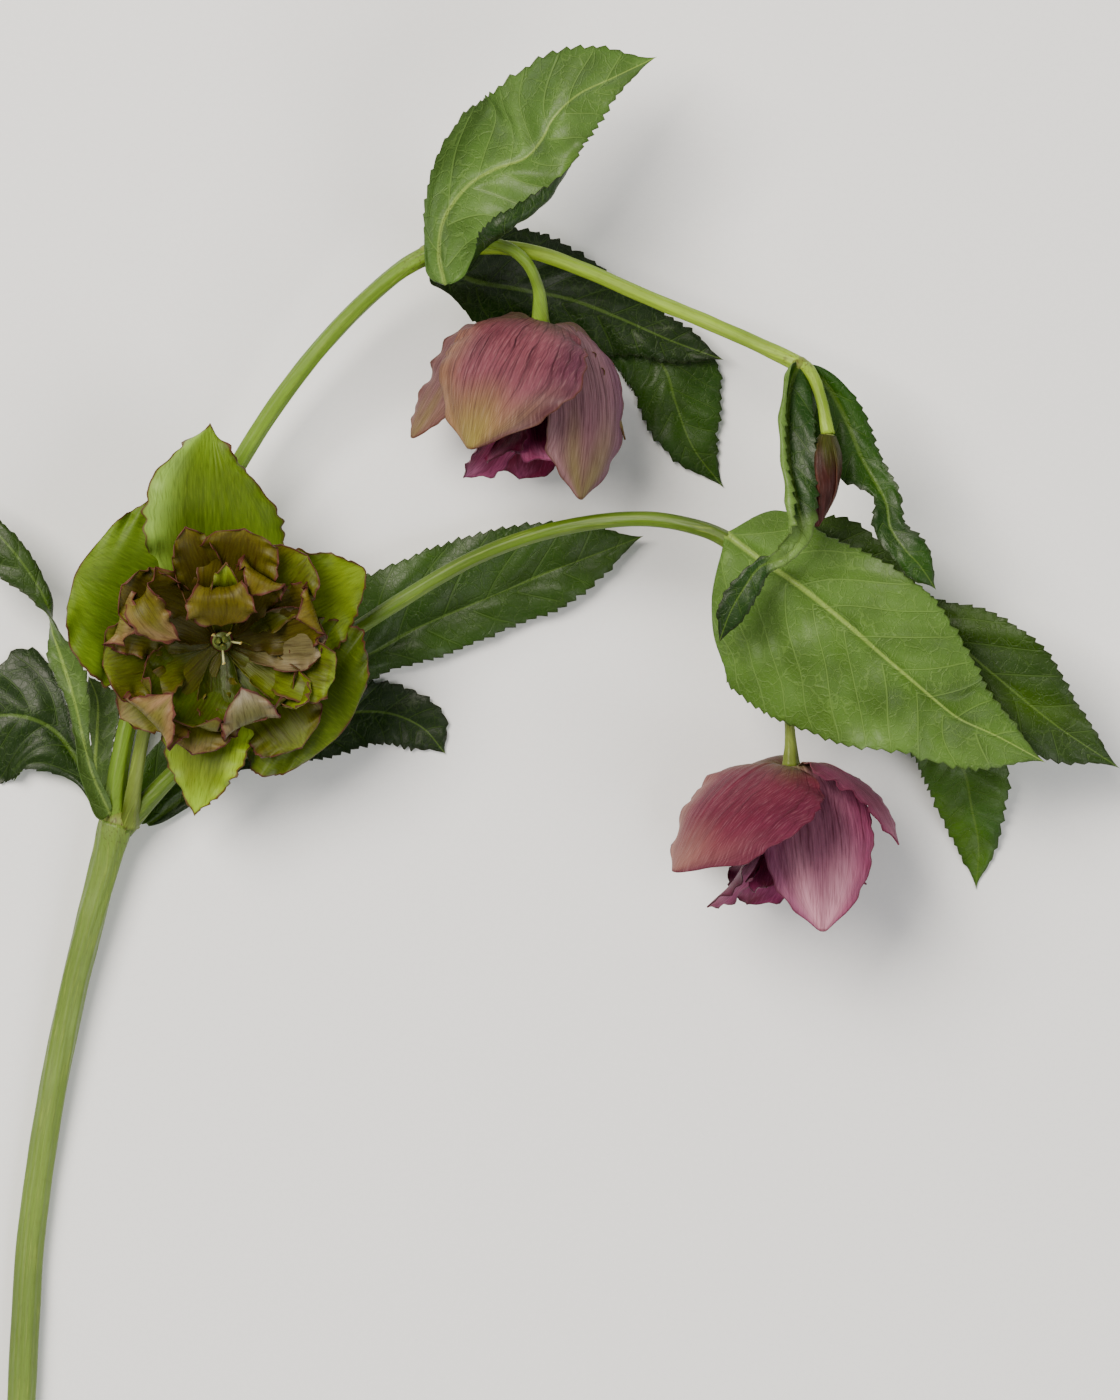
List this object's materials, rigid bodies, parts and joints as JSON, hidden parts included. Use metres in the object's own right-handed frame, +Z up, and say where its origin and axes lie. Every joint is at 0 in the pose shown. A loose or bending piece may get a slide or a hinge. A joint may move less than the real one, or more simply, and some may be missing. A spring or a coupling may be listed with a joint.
{
  "type": "hellebore flower",
  "caption": "Cut hellebore spray lying flat: a ribbed green stem that forks to nodding and open double blooms, a bud and toothed leaves.",
  "frame": {"origin": "on the surface it lies on, in the middle of the footprint of the whole spray", "axes": "+Z up from the surface, +Y from the cut end up the stem, +X towards the side that its branches lean to"},
  "size_m": [0.271, 0.333, 0.0582],
  "materials": {
    "stem_green": "semi-matt, faintly ribbed green stem",
    "leaf_upper": "satin dark green, upper side of a leaf",
    "leaf_underside": "satin light green, veined underside of a leaf",
    "green_sepal": "satin olive green with fine purple edges",
    "green_petal": "satin olive brown, frilled",
    "mauve_sepal": "soft satin dusky mauve with darker veins",
    "mauve_petal": "satin deep magenta",
    "pink_sepal": "soft satin dusky red-pink with darker veins",
    "pink_petal": "satin magenta pink",
    "bud_purple": "soft satin dark purple-brown",
    "stamen_cream": "matt cream"
  },
  "bodies": {
    "root": {"stem": "stem_green", "leaf_fork_twisted": "leaf_underside", "leaf_fork_broad": "leaf_upper", "leaf_fork_back": "leaf_underside", "leaf_fork_long": "leaf_upper", "leaf_fork_dark": "leaf_upper", "leaf_top_front": "leaf_underside", "leaf_top_dark": "leaf_upper", "leaf_top_drooping": "leaf_upper", "leaf_right_front": "leaf_underside", "leaf_right_far": "leaf_upper", "leaf_right_drooping": "leaf_upper", "leaf_bud_left": "leaf_upper", "leaf_bud_right": "leaf_upper", "bud": "bud_purple", "green_sepals": "green_sepal", "green_petals": "green_petal", "green_stamens": "stamen_cream", "mauve_sepals": "mauve_sepal", "mauve_petals": "mauve_petal", "mauve_stamens": "stamen_cream", "pink_sepals": "pink_sepal", "pink_petals": "pink_petal", "pink_stamens": "stamen_cream"}
  },
  "joints": []
}
